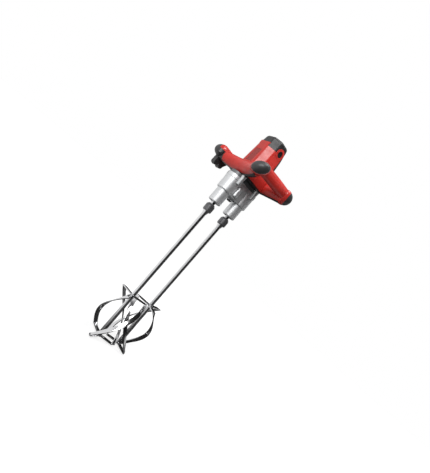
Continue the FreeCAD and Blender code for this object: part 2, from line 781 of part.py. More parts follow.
def make_motor_cap():
    cap = cap_solid()
    bearing_top = CAP_TOP - CAP_WALL - 2
    room = cylinder(CAP_WIDTH_TOP / 2 - CAP_WALL, MOTOR_TOP, bearing_top - MOTOR_BEARING_H)
    tools = [
        room,
        cylinder(MOTOR_BEARING_R, bearing_top - MOTOR_BEARING_H, bearing_top),
    ]
    tools.append(cap_tab(CLEARANCE, CAP_WALL))
    for sign in (-1, 1):
        tools.append(brush_boss(sign, CLEARANCE, CAP_WALL))
        tools.append(brush_bore(sign))
    return cut(cap, tools)


# Motor


def make_stator_core():
    core = ring(STATOR_R, STATOR_BORE_R, STATOR_BOTTOM, STATOR_BOTTOM + STATOR_LENGTH)
    return cut(core, [coil_slot(sign) for sign in (-1, 1)])


def coil_slot(sign):
    outer, inner = sign * (STATOR_R - 5), sign * (STATOR_BORE_R - 3)
    low, high = sorted((outer, inner))
    top = STATOR_BOTTOM + STATOR_LENGTH
    return block((low, -COIL_SLOT / 2, STATOR_BOTTOM - 1), (high, COIL_SLOT / 2, top + 1))


def make_field_coils():
    coils = []
    middle = STATOR_BOTTOM + STATOR_LENGTH / 2
    for sign in (-1, 1):
        low, high = sorted((sign * (STATOR_R - 5), sign * (STATOR_BORE_R + CLEARANCE)))
        half = COIL_LENGTH / 2
        coil = block((low, -COIL_SLOT / 2, middle - half), (high, COIL_SLOT / 2, middle + half))
        coils.append(coil.cut(cylinder(STATOR_BORE_R + CLEARANCE, middle - half, middle + half)))
    return Part.makeCompound(coils)


def cap_bearing_z():
    return CAP_TOP - CAP_WALL - 2 - MOTOR_BEARING_H


def make_rotor_shaft():
    """The rotor's shaft, stepped down at its lower end for the pinion."""
    step = TOP_Z + TOP_FACE
    body = cylinder(ROTOR_SHAFT_R, step, cap_bearing_z() + MOTOR_BEARING_H - 1)
    return fuse([body, cylinder(PINION_BORE_R, TOP_Z, step)])


def make_rotor_core():
    """Laminated core with straight winding slots."""
    bottom = STATOR_BOTTOM
    core = ring(CORE_R, ROTOR_SHAFT_R, bottom, bottom + STATOR_LENGTH)
    slots = []
    count = 12
    for i in range(count):
        slot = block((CORE_R - 5, -1.5, bottom), (CORE_R + 1, 1.5, bottom + STATOR_LENGTH))
        slot.rotate(V(0, 0, 0), UP, 360 * i / count)
        slots.append(slot)
    return cut(core, slots)


def make_commutator():
    bottom = BRUSH_Z - COMMUTATOR_LENGTH / 2
    return ring(COMMUTATOR_R, ROTOR_SHAFT_R, bottom, bottom + COMMUTATOR_LENGTH)


def make_fan():
    """Radial cooling fan: a disc with upright blades on a hub."""
    disc = ring(FAN_R, ROTOR_SHAFT_R, FAN_BOTTOM, FAN_BOTTOM + 2)
    hub = ring(FAN_HUB_R, ROTOR_SHAFT_R, FAN_BOTTOM, FAN_BOTTOM + FAN_HEIGHT)
    blades = []
    half = FAN_BLADE_THICKNESS / 2
    for i in range(FAN_BLADES):
        blade = block((FAN_HUB_R - 1, -half, FAN_BOTTOM), (FAN_R - 1, half, FAN_BOTTOM + FAN_HEIGHT))
        blade.rotate(V(0, 0, 0), UP, 360 * i / FAN_BLADES)
        blades.append(blade)
    return fuse([disc, hub] + blades)


def make_brush_holders():
    holders = []
    for sign in (-1, 1):
        outer = brush_face_y() - HOLDER_SINK
        inner = brush_face_y() - HOLDER_LENGTH
        holder = rod(HOLDER_R, V(0, sign * inner, BRUSH_Z), V(0, sign * outer, BRUSH_Z))
        bore = rod(BRUSH_CAP_R, V(0, sign * (outer - BRUSH_CAP_DEPTH), BRUSH_Z), V(0, sign * (outer + 1), BRUSH_Z))
        holders.append(holder.cut(bore).cut(brush_slot(sign)))
    return Part.makeCompound(holders)


def brush_slot(sign):
    low, high = sorted((sign * COMMUTATOR_R, sign * brush_face_y()))
    return block(
        (-BRUSH_WIDTH / 2, low, BRUSH_Z - BRUSH_HEIGHT / 2),
        (BRUSH_WIDTH / 2, high, BRUSH_Z + BRUSH_HEIGHT / 2),
    )


def make_carbon_brushes():
    brushes = []
    for sign in (-1, 1):
        room = cylinder(COMMUTATOR_R + CLEARANCE, BRUSH_Z - BRUSH_HEIGHT, BRUSH_Z + BRUSH_HEIGHT)
        end = brush_face_y() - HOLDER_SINK - BRUSH_CAP_DEPTH
        low, high = sorted((sign * (COMMUTATOR_R - 2), sign * end))
        brush = block(
            (-BRUSH_WIDTH / 2, low, BRUSH_Z - BRUSH_HEIGHT / 2),
            (BRUSH_WIDTH / 2, high, BRUSH_Z + BRUSH_HEIGHT / 2),
        )
        brushes.append(brush.cut(room))
    return Part.makeCompound(brushes)


def make_brush_caps():
    """Screw-in caps, sunk a little below the boss, each with a driver slot."""
    caps = []
    for sign in (-1, 1):
        outer = brush_face_y() - 2 * HOLDER_SINK
        inner = brush_face_y() - HOLDER_SINK - BRUSH_CAP_DEPTH
        cap = rod(BRUSH_CAP_R, V(0, sign * inner, BRUSH_Z), V(0, sign * outer, BRUSH_Z))
        low, high = sorted((sign * (outer - 1.5), sign * (outer + 1)))
        slot = block((-BRUSH_CAP_R * 0.8, low, BRUSH_Z - 1), (BRUSH_CAP_R * 0.8, high, BRUSH_Z + 1))
        caps.append(cap.cut(slot))
    return Part.makeCompound(caps)


def make_rotor_bearing(z0):
    return ring(MOTOR_BEARING_R, ROTOR_SHAFT_R + RUNNING, z0, z0 + MOTOR_BEARING_H)


def make_housing_screws():
    screws = []
    for xy in screw_places(HOUSING_SCREW_XY, HOUSING_SCREW_XY):
        head_z = DECK_Z + HOUSING_SCREW_R
        shank = cylinder(HOUSING_SCREW_R, head_z, HOUSING_SCREW_TOP, xy)
        head = cylinder(1.8 * HOUSING_SCREW_R, head_z - 2 * HOUSING_SCREW_R, head_z, xy)
        screws.append(fuse([head, shank]))
    return Part.makeCompound(screws)


# Gears


def involute(angle):
    return math.tan(angle) - angle


def half_tooth(teeth, radius):
    """Half of a tooth's angle at radius, on involute flanks thinned for backlash."""
    pressure = math.radians(PRESSURE_DEG)
    base = pitch_r(teeth) * math.cos(pressure)
    here = math.acos(min(1.0, base / max(radius, base)))
    at_pitch = math.pi / (2 * teeth) - TOOTH_THINNING / (2 * pitch_r(teeth))
    return at_pitch + involute(pressure) - involute(here)


def gear(teeth, z0, z1, xy, phase, bore_r):
    """A spur gear with its first tooth at phase degrees."""
    base = pitch_r(teeth) * math.cos(math.radians(PRESSURE_DEG))
    root = pitch_r(teeth) - DEDENDUM * MODULE
    radii = [root, max(base, root + 0.1), pitch_r(teeth), tip_r(teeth)]
    points = []
    for i in range(teeth):
        middle = math.radians(phase) + 2 * math.pi * i / teeth
        flank = [(r, half_tooth(teeth, r)) for r in radii]
        for r, half in flank:
            points.append(V(xy[0] + r * math.cos(middle - half), xy[1] + r * math.sin(middle - half), z0))
        for r, half in reversed(flank):
            points.append(V(xy[0] + r * math.cos(middle + half), xy[1] + r * math.sin(middle + half), z0))
    outline = Part.makePolygon(points + points[:1])
    body = Part.Face(outline).extrude(V(0, 0, z1 - z0))
    return body.cut(cylinder(bore_r, z0, z1, xy))


def mesh_phase(phase, teeth, other_teeth, direction):
    """The phase of a gear that meshes with one at the given phase, in the given direction in degrees."""
    return direction + 180 - (phase - direction) * teeth / other_teeth + 180 / other_teeth


def bearing_deg(start, end):
    return math.degrees(math.atan2(end[1] - start[1], end[0] - start[0]))


MOTOR_PHASE = 90.0
COUNTER_PHASE = mesh_phase(MOTOR_PHASE, MOTOR_TEETH, COUNTER_TEETH, bearing_deg(CENTRE_XY, COUNTER_XY))
COUNTER_PINION_PHASE = -90.0
CENTRE_PHASE = mesh_phase(
    COUNTER_PINION_PHASE, COUNTER_PINION_TEETH, CENTRE_TEETH, bearing_deg(COUNTER_XY, CENTRE_XY)
)
LEFT_PHASE = mesh_phase(CENTRE_PHASE, CENTRE_TEETH, LEFT_TEETH, bearing_deg(CENTRE_XY, LEFT_XY))
TO_IDLER_DEG = bearing_deg(CENTRE_XY, IDLER_XY)
CENTRE_PINION_PHASE = TO_IDLER_DEG
IDLER_PHASE = mesh_phase(CENTRE_PINION_PHASE, CENTRE_PINION_TEETH, IDLER_TEETH, TO_IDLER_DEG)
RIGHT_PHASE = mesh_phase(IDLER_PHASE, IDLER_TEETH, RIGHT_TEETH, bearing_deg(IDLER_XY, RIGHT_XY))


# Gear case and plate


def make_gear_plate():
    """The dark plate that closes the gear case and carries the upper bearings."""
    radius = CASE_R - CASE_WALL
    pieces = [cylinder(radius, CASE_TOP, PLATE_TOP, xy) for xy in (LEFT_XY, RIGHT_XY)]
    pieces.append(block((-SPINDLE_X, -WEB_HALF, CASE_TOP), (SPINDLE_X, WEB_HALF, PLATE_TOP)))
    pieces.append(cylinder(SMALL_BEARING_R + CASE_WALL, CASE_TOP, PLATE_TOP, COUNTER_XY))
    plate = fuse(pieces)
    tools = [
        cylinder(SMALL_BEARING_R, PLATE_TOP - SMALL_BEARING_H, PLATE_TOP, COUNTER_XY),
        cylinder(COUNTERSHAFT_R + 1, CASE_TOP, PLATE_TOP, COUNTER_XY),
        cylinder(CENTRE_BEARING_R, CASE_TOP, CASE_TOP + SMALL_BEARING_H),
    ]
    for xy in screw_places(LUG_X, LUG_Y):
        tools.append(cylinder(LUG_R + CLEARANCE, CASE_TOP, PLATE_TOP, xy))
    return cut(plate, tools)


def chamfered_cylinder(radius, z0, z1, xy):
    """A cylinder whose lower rim is chamfered."""
    c = CASE_CHAMFER
    points = [(0, 0), (radius - c, 0), (radius, c), (radius, z1 - z0), (0, z1 - z0)]
    return revolve_profile(points, V(xy[0], xy[1], z0))


def make_gear_case():
    """Cast case: two round chambers with a web between them, and a barrel below each for its spindle."""
    pieces = []
    for xy in (LEFT_XY, RIGHT_XY):
        pieces.append(chamfered_cylinder(CASE_R, CASE_BOTTOM, CASE_TOP, xy))
        pieces.append(chamfered_cylinder(CASE_R + FLANGE_OUT, CASE_TOP - FLANGE_HEIGHT, CASE_TOP, xy))
        pieces.append(chamfered_cylinder(BARREL_R, BARREL_BOTTOM, CASE_BOTTOM + CASE_FLOOR / 2, xy))
    web = WEB_HALF + CASE_WALL
    pieces.append(block((-SPINDLE_X, -web, CASE_BOTTOM), (SPINDLE_X, web, CASE_TOP)))
    boss_bottom = CASE_BOTTOM - CENTRE_BOSS_DROP
    pieces.append(chamfered_cylinder(CENTRE_BOSS_R, boss_bottom, CASE_BOTTOM + 1, CENTRE_XY))
    pieces.append(chamfered_cylinder(2 * IDLER_PIN_R, boss_bottom, CASE_BOTTOM + 1, IDLER_XY))
    pieces.append(chamfered_cylinder(SMALL_BEARING_R + CASE_WALL, CASE_BOTTOM, CASE_TOP, COUNTER_XY))
    front = (FRONT_BOSS_X, FRONT_BOSS_R - web - FRONT_BOSS_OUT)
    front_z = CASE_BOTTOM + FRONT_BOSS_LIFT
    pieces.append(chamfered_cylinder(FRONT_BOSS_R, front_z, front_z + FRONT_BOSS_HEIGHT, front))
    lug_bottom = PLATE_TOP - LUG_LENGTH
    for xy in screw_places(LUG_X, LUG_Y):
        pieces.append(Part.makeCone(LUG_TIP_R, LUG_R, LUG_LENGTH, V(xy[0], xy[1], lug_bottom)))
    case = fuse(pieces)
    tools = [
        block((-SPINDLE_X, -WEB_HALF, CASE_FLOOR_Z), (SPINDLE_X, WEB_HALF, CASE_TOP)),
        cylinder(
            tip_r(COUNTER_PINION_TEETH) + GEAR_ROOM, CASE_FLOOR_Z + SMALL_BEARING_H, CASE_TOP, COUNTER_XY
        ),
        cylinder(SMALL_BEARING_R, CASE_FLOOR_Z, CASE_FLOOR_Z + SMALL_BEARING_H, COUNTER_XY),
        cylinder(CENTRE_BEARING_R, CASE_FLOOR_Z - SMALL_BEARING_H, CASE_FLOOR_Z),
        cylinder(IDLER_PIN_R, CASE_BOTTOM, CASE_FLOOR_Z, IDLER_XY),
    ]
    for xy in (LEFT_XY, RIGHT_XY):
        tools.append(cylinder(CAVITY_R, CASE_FLOOR_Z, CASE_TOP, xy))
        tools.append(cylinder(BORE_R, BARREL_BOTTOM + BARREL_LIP, CASE_FLOOR_Z, xy))
        tools.append(cylinder(SEAL_R, BARREL_BOTTOM, BARREL_BOTTOM + BARREL_LIP, xy))
    for xy in screw_places(LUG_X, LUG_Y):
        tools.append(cylinder(CASE_SCREW_R, lug_bottom + 2 * CASE_SCREW_R, PLATE_TOP, xy))
    return cut(case, tools)


def make_case_screws():
    """Screws that go down through the hub into the case's lugs."""
    screws = []
    tip = PLATE_TOP - LUG_LENGTH + 2 * CASE_SCREW_R
    for xy in screw_places(LUG_X, LUG_Y):
        shank = cylinder(CASE_SCREW_R, tip, DECK_Z, xy)
        head = cylinder(CASE_HEAD_R, DECK_Z, DECK_Z + 2 * CASE_SCREW_R, xy)
        screws.append(fuse([head, shank]))
    return Part.makeCompound(screws)


def make_case_plug():
    bottom = CASE_BOTTOM - CENTRE_BOSS_DROP
    return cylinder(CASE_PLUG_R, bottom - CASE_PLUG_HEIGHT, bottom)


# Bearings, shafts and spindles


def make_spindle_bearings(z0):
    bearings = [
        ring(SPINDLE_BEARING_R, SPINDLE_R + RUNNING, z0, z0 + SPINDLE_BEARING_H, xy)
        for xy in (LEFT_XY, RIGHT_XY)
    ]
    return Part.makeCompound(bearings)


def make_spindle_seals():
    low, high = BARREL_BOTTOM, BARREL_BOTTOM + BARREL_LIP
    return Part.makeCompound([ring(SEAL_R, SPINDLE_R + RUNNING, low, high, xy) for xy in (LEFT_XY, RIGHT_XY)])


def make_countershaft_bearings():
    bore = COUNTERSHAFT_R + RUNNING
    lower = ring(SMALL_BEARING_R, bore, CASE_FLOOR_Z, CASE_FLOOR_Z + SMALL_BEARING_H, COUNTER_XY)
    upper = ring(SMALL_BEARING_R, bore, PLATE_TOP - SMALL_BEARING_H, PLATE_TOP, COUNTER_XY)
    return Part.makeCompound([lower, upper])


def make_centre_bearings():
    bore = CENTRE_SHAFT_R + RUNNING
    lower = ring(CENTRE_BEARING_R, bore, CASE_FLOOR_Z - SMALL_BEARING_H, CASE_FLOOR_Z)
    upper = ring(CENTRE_BEARING_R, bore, CASE_TOP, CASE_TOP + SMALL_BEARING_H)
    return Part.makeCompound([lower, upper])


def make_spindle(xy, gear_top):
    """A spindle whose threaded end runs down into the coupling."""
    body = cylinder(SPINDLE_R, BARREL_BOTTOM, gear_top, xy)
    neck = cylinder(NECK_R, STIRRER_TOP, BARREL_BOTTOM, xy)
    return fuse([body, neck])


def make_coupling(xy):
    """The dark sleeve that joins a stirrer to its spindle."""
    r, c, length = COUPLING_R, COUPLING_CHAMFER, COUPLING_LENGTH
    shoulder = COUPLING_SHOULDER
    points = [(0, 0), (r - c, 0), (r, c), (r, length - shoulder), (r - 0.7 * shoulder, length), (0, length)]
    sleeve = revolve_profile(points, V(xy[0], xy[1], COUPLING_BOTTOM))
    tools = [
        cylinder(NECK_R, STIRRER_TOP, COUPLING_TOP, xy),
        cylinder(STIRRER_R, COUPLING_BOTTOM, STIRRER_TOP, xy),
    ]
    return cut(sleeve, tools)


def make_stirrer(xy):
    """A stirrer's shaft with the tapered collar that seats under the coupling."""
    shaft = cylinder(STIRRER_R, STIRRER_BOTTOM, STIRRER_TOP, xy)
    bottom = COUPLING_BOTTOM - STIRRER_COLLAR_LENGTH
    collar = Part.makeCone(STIRRER_R, STIRRER_COLLAR_R, STIRRER_COLLAR_LENGTH, V(xy[0], xy[1], bottom))
    return fuse([shaft, collar])


def blade_section(centre, wide, thick):
    a, b = wide * (BLADE_WIDTH / 2), thick * (BLADE_THICKNESS / 2)
    corners = [centre - a - b, centre + a - b, centre + a + b, centre - a + b]
    return Part.makePolygon(corners + corners[:1])


def blade_profile():
    """A blade's path in a plane through the shaft: distance out, height, and slope from 0, out, to pi, in."""
    start = BLADE_ROOT * STIRRER_R
    head, foot = CAGE_HEAD_ROUND, CAGE_FOOT_ROUND
    run_height = CAGE_HEIGHT - head - foot
    points = [(start, CAGE_TOP, 0.0), (CAGE_CORNER_R - head, CAGE_TOP, 0.0)]
    for i in range(1, BEND_STEPS + 1):
        slope = math.pi / 2 * i / BEND_STEPS
        out = CAGE_CORNER_R - head + head * math.sin(slope)
        points.append((out, CAGE_TOP - head * (1 - math.cos(slope)), slope))
    for i in range(1, RUN_STEPS + 1):
        share = i / RUN_STEPS
        out = CAGE_CORNER_R + CAGE_BULGE * (1 - math.cos(2 * math.pi * share)) / 2
        widening = CAGE_BULGE * math.pi * math.sin(2 * math.pi * share)
        points.append((out, CAGE_TOP - head - run_height * share, math.atan2(run_height, widening)))
    for i in range(1, BEND_STEPS + 1):
        slope = math.pi / 2 * (1 + i / BEND_STEPS)
        out = CAGE_CORNER_R - foot + foot * math.sin(slope)
        points.append((out, CAGE_BOTTOM + foot + foot * math.cos(slope), slope))
    points.append((start, CAGE_BOTTOM, math.pi))
    return points


def make_blade(top_angle, turn):
    """One flat bar about the Z axis: an arm out from the shaft, a winding run, and an arm back in."""
    sections = []
    winding = math.radians(turn) / CAGE_HEIGHT
    for out, z, slope in blade_profile():
        angle = math.radians(top_angle) + winding * (CAGE_TOP - z)
        radial = V(math.cos(angle), math.sin(angle), 0)
        across = V(-math.sin(angle), math.cos(angle), 0)
        thick = radial * math.sin(slope) + UP * math.cos(slope)
        along = radial * math.cos(slope) - UP * math.sin(slope) + across * (winding * out * math.sin(slope))
        wide = thick.cross(along)
        wide.normalize()
        sections.append(blade_section(radial * out + UP * z, wide, thick))
    return Part.makeLoft(sections, True, True)


def make_blades(xy, top_angle, turn):
    blades = []
    shaft = cylinder(STIRRER_R, STIRRER_BOTTOM - 1, STIRRER_TOP)
    for i in range(BLADE_COUNT):
        blade = make_blade(top_angle + 360 * i / BLADE_COUNT, turn).cut(shaft)
        blade.translate(V(xy[0], xy[1], 0))
        blades.append(blade)
    return Part.makeCompound(blades)


# Cord gland


def make_cord_gland():
    face_x = ARM_BOW + ARM_HALF_WIDTH
    inner = rod(GLAND_R, V(face_x - GLAND_LENGTH + GLAND_FLANGE, 0, 0), V(face_x + 1, 0, 0))
    flange = Part.makeCone(GLAND_FLANGE_R, GLAND_R, GLAND_FLANGE, V(face_x + 1, 0, 0), V(1, 0, 0))
    bore = rod(GLAND_BORE_R, V(face_x - GLAND_LENGTH, 0, 0), V(face_x + 2 * GLAND_FLANGE, 0, 0))
    return fuse([inner, flange]).cut(bore)


def build():
    right_blade_angle = 180 - LEFT_BLADE_ANGLE - 180 / BLADE_COUNT
    counter_top = TOP_Z + TOP_FACE
    nodes = {
        "frame_hub": make_frame_hub(),
        "frame_arm_front": make_frame_arm(-1),
        "frame_arm_rear": make_frame_arm(1),
        "frame_base": make_frame_base(),
        "right_grip_upper": make_grip(-1, -1),
        "right_grip_lower": make_grip(-1, 1),
        "left_grip_upper": make_grip(1, -1),
        "left_grip_lower": make_grip(1, 1),
        "switch_shroud": make_switch_shroud(),
        "trigger": make_trigger(),
        "trigger_pin": trigger_pin_rod(),
        "switch_body": make_switch_body(),
        "motor_housing": make_motor_housing(),
        "rear_vent_cover": make_rear_cover(),
        "motor_cap": make_motor_cap(),
        "stator_core": make_stator_core(),
        "field_coils": make_field_coils(),
        "rotor_shaft": make_rotor_shaft(),
        "rotor_core": make_rotor_core(),
        "commutator": make_commutator(),
        "cooling_fan": make_fan(),
        "brush_holders": make_brush_holders(),
        "carbon_brushes": make_carbon_brushes(),
        "brush_caps": make_brush_caps(),
        "rotor_bearing_upper": make_rotor_bearing(cap_bearing_z()),
        "rotor_bearing_lower": make_rotor_bearing(HUB_TOP - MOTOR_BEARING_H),
        "housing_screws": make_housing_screws(),
        "gear_plate": make_gear_plate(),
        "gear_case": make_gear_case(),
        "case_screws": make_case_screws(),
        "case_plug": make_case_plug(),
        "spindle_bearings_upper": make_spindle_bearings(CASE_FLOOR_Z - SPINDLE_BEARING_H),
        "spindle_bearings_lower": make_spindle_bearings(BARREL_BOTTOM + BARREL_LIP),
        "spindle_seals": make_spindle_seals(),
        "countershaft_bearings": make_countershaft_bearings(),
        "centre_bearings": make_centre_bearings(),
        "idler_pin": cylinder(IDLER_PIN_R, CASE_BOTTOM, LOW_Z + LOW_FACE, IDLER_XY),
        "motor_pinion": gear(MOTOR_TEETH, TOP_Z, counter_top, CENTRE_XY, MOTOR_PHASE, PINION_BORE_R),
        "countershaft": cylinder(COUNTERSHAFT_R, CASE_FLOOR_Z, counter_top, COUNTER_XY),
        "counter_gear": gear(COUNTER_TEETH, TOP_Z, counter_top, COUNTER_XY, COUNTER_PHASE, COUNTERSHAFT_R),
        "counter_pinion": gear(
            COUNTER_PINION_TEETH, HIGH_Z, HIGH_Z + HIGH_FACE, COUNTER_XY, COUNTER_PINION_PHASE, COUNTERSHAFT_R
        ),
        "centre_shaft": cylinder(CENTRE_SHAFT_R, CASE_FLOOR_Z - SMALL_BEARING_H, CASE_TOP + SMALL_BEARING_H),
        "centre_gear": gear(
            CENTRE_TEETH, HIGH_Z, HIGH_Z + HIGH_FACE, CENTRE_XY, CENTRE_PHASE, CENTRE_SHAFT_R
        ),
        "centre_pinion": gear(
            CENTRE_PINION_TEETH, LOW_Z, LOW_Z + LOW_FACE, CENTRE_XY, CENTRE_PINION_PHASE, CENTRE_SHAFT_R
        ),
        "idler_gear": gear(
            IDLER_TEETH, LOW_Z, LOW_Z + LOW_FACE, IDLER_XY, IDLER_PHASE, IDLER_PIN_R + RUNNING
        ),
        "spindle_gear_left": gear(LEFT_TEETH, HIGH_Z, HIGH_Z + HIGH_FACE, LEFT_XY, LEFT_PHASE, SPINDLE_R),
        "spindle_gear_right": gear(RIGHT_TEETH, LOW_Z, LOW_Z + LOW_FACE, RIGHT_XY, RIGHT_PHASE, SPINDLE_R),
        "spindle_left": make_spindle(LEFT_XY, HIGH_Z + HIGH_FACE),
        "spindle_right": make_spindle(RIGHT_XY, LOW_Z + LOW_FACE),
        "coupling_left": make_coupling(LEFT_XY),
        "coupling_right": make_coupling(RIGHT_XY),
        "stirrer_left": make_stirrer(LEFT_XY),
        "stirrer_right": make_stirrer(RIGHT_XY),
        "blades_left": make_blades(LEFT_XY, LEFT_BLADE_ANGLE, -BLADE_TURN),
        "blades_right": make_blades(RIGHT_XY, right_blade_angle, BLADE_TURN),
        "cord_gland": make_cord_gland(),
    }
    for name in CORNERS:
        nodes["bumper_" + name] = make_bumper(name)
    return nodes


def main():
    os.makedirs("parts", exist_ok=True)
    for name, shape in build().items():
        shape.exportStep("parts/" + name + ".step")
        print(f"{name:24s} solids {len(shape.Solids)}  valid {shape.isValid()}  volume {shape.Volume:.0f}")


main()
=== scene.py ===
"""The looks of a hand-held mixing drill with two counter-rotating stirrers.

Metres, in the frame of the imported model: +Z runs up the tool's axis, X along the grips and the line of the
two spindles, and the right grip is at -Y.
"""

import json
import math

import bmesh
import bpy
from mathutils import Matrix, Vector


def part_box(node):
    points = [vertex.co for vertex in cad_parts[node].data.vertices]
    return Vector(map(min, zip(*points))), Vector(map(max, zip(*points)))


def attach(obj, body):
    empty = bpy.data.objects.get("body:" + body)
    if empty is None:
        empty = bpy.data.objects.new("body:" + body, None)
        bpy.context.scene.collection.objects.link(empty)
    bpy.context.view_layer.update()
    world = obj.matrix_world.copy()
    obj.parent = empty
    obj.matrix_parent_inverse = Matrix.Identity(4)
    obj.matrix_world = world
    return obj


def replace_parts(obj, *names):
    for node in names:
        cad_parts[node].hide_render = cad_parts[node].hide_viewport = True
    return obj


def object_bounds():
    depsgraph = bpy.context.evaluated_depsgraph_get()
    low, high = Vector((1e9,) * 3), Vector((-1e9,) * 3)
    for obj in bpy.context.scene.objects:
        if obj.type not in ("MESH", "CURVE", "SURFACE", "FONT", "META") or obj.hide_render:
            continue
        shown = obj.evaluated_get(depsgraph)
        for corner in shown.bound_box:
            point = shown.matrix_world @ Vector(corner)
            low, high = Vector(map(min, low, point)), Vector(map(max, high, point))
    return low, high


# The photograph's frame and the camera that matches it
IMAGE_HEIGHT = 473
FOCAL_PX = 340.0
SENSOR_MM = 36.0
CAMERA_DISTANCE = 1.2
CAMERA_Z = -0.299
CAMERA_AZIMUTH = math.radians(39.0)  # from straight in front of the right grip towards the panel's side
CAMERA_ROLL = math.radians(40.9)  # how far the tool leans to the right in the picture
CAMERA_SHIFT = (0.0428, 0.0066)
CAMERA_CLIP = 0.01

AIM = Vector((math.sin(CAMERA_AZIMUTH), math.cos(CAMERA_AZIMUTH), 0.0))
LEVEL_RIGHT = Vector((math.cos(CAMERA_AZIMUTH), -math.sin(CAMERA_AZIMUTH), 0.0))
UP = Vector((0.0, 0.0, 1.0))

# Light: the even level from all round, and the room that bright metal mirrors
WHITE = (1.0, 1.0, 1.0, 1.0)
SOFT_LIGHT = 0.3
ROOM_WHITE = AIM * 0.1 - LEVEL_RIGHT - UP * 0.35  # towards the white side of the room
ROOM_DARK = 0.01
ROOM_EDGE = (0.05, 0.45)  # how far towards that side the room is still dark, and already white
STRIP_SIDE = Vector((1.0, -0.07, 0.0))  # towards a tall pale strip in the dark side
STRIP_EDGE = (0.12, 0.24)  # how far off its middle the strip is still at its level, and already dark
STRIP_LEVEL = 0.7

# Lamps: place, the point that they face, size, power in watts, and whether metal mirrors them
LAMPS = {
    "key": ((-1.5, -1.05, 0.9), (0.0, 0.0, -0.1), 1.0, 38.0, True),
    "fill": ((1.8, -1.0, 0.8), (0.0, 0.0, -0.1), 1.4, 20.0, False),
    "top": ((0.1, -0.2, 1.8), (0.0, 0.0, 0.0), 0.8, 20.0, True),
}

# Floor: each pair of distances runs from near the tool's axis to far off
FLOOR_SIZE = 30.0
FLOOR_DROP = 0.002  # below the lowest point of the stirrers
FLOOR_COLOUR = 0.3
FLOOR_ROUGHNESS = 0.9
FLOOR_GLOW = (0.75, 0.95)  # its own light for the camera, near and far
FLOOR_GLOW_REACH = (0.15, 0.6)
FLOOR_MIRROR_REACH = (0.12, 0.5)  # where metal shows it dark, and as bright as the room

# Surfaces: the scale and detail of their noise, and the rubbing on their edges
EVEN = (1.0, 1.0, 1.0)
TINT_NOISE = (26.0, 3.0)
GLOSS_NOISE = (58.0, 4.0)
GRAIN_DETAIL = 3.0
NOISE_SPREAD = (0.3, 0.7)  # the values between which most of a noise lies
WORN_REACH = 0.0012
WORN_SAMPLES = 4
WORN_EDGE = (0.80, 0.985)  # how far the normals agree across a rubbed edge, and on flat ground
WORN_NOISE = (160.0, 4.0)
WORN_SPOTS = (0.42, 0.62)

# Stirrer blades: flat bars that wind about the shaft with their flat turned out of the cage's round
BLADE_WIDTH = 0.015
BLADE_THICKNESS = 0.004
BLADE_EDGE_ROUND = 0.0006
BLADE_EDGE_STEPS = 2
BLADE_INSET = 0.001  # how far the blades stay inside the reach of the model's own
BLADE_COUNT = 3
BLADE_TURN = math.radians(134.0)
BLADE_LEAN = math.radians(60.0)
BLADE_ROWS = 34
BLADE_CORNER_SHARE = 0.08  # the share of the winding that each mitred corner takes
BLADE_CORNER_ROWS = 5
STIRRER_R = 0.008
BLADE_ROOT = 0.65  # where the arms begin, as a share of the shaft's radius
LEFT_BLADE_ANGLE = math.radians(-17.0)
WELD_R = 0.0015
WELD_SPAN = math.radians(52.0)
WELD_STEPS = 22
WELD_SIDES = 8
WELD_RIPPLE = 0.16
WELD_WAVE = 1.9  # radians of the ripple per step
WELD_BLUNTNESS = 6  # the power that shapes the bead's ends
WELD_TIP = 0.02  # what is left of the radius at the very ends, as a share

# Bare panel in the recess on the motor's side
PANEL_SIZE = (0.0292, 0.0552)
PANEL_THICKNESS = 0.0005
PANEL_FLOOR = 0.0008  # the depth of the recess
PANEL_LIFT = 0.0310  # from the foot of the motor to the middle of the recess
PANEL_CORNER_R = 0.002
PANEL_CORNER_POINTS = 6
MOTOR_HEIGHT = 0.080  # from the foot of the motor to the foot of its cap
MOTOR_TAPER = 0.005  # how far each side of the motor leans in over that height

# Small screws under the left grip and in the rear cover
SCREW_R = 0.0034
SCREW_DOME = 0.0011
SCREW_RIM_DROP = 0.75  # how far the dome falls off at its rim, as a share of its height
SCREW_DOME_POWER = 4
SCREW_SLOT = 0.00055
SCREW_SLOT_REACH = 0.66  # as a share of the head's radius
SCREW_SLOT_DEPTH = 0.8  # as a share of the dome's height
SCREW_RINGS = 9
SCREW_SPOKES = 32
SCREW_SEARCH = 0.01  # how far off its surface the search for a screw's seat starts
GRIP_SCREW_X = (0.014, 0.040)
COVER_SCREW_PLACES = ((-0.022, 0.0315), (0.022, 0.0315), (-0.020, 0.0985), (0.020, 0.0985))

# Angles in degrees below which the faces of a piece shade as one
SMOOTH_BELOW = 40.0
WELD_SMOOTH_BELOW = 80.0
SCREW_SMOOTH_BELOW = 35.0

ROOT = "handle_and_case"
STIRRER_BODIES = {"left": "left_stirrer", "right": "right_stirrer"}

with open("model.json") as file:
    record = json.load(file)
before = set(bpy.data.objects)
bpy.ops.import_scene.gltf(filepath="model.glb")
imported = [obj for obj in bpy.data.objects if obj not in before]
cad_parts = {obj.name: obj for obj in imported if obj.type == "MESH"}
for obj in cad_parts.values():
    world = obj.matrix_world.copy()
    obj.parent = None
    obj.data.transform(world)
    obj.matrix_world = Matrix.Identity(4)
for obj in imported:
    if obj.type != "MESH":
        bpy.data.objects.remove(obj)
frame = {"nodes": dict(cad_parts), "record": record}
cad_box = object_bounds()
nodes = frame["nodes"]


# Materials


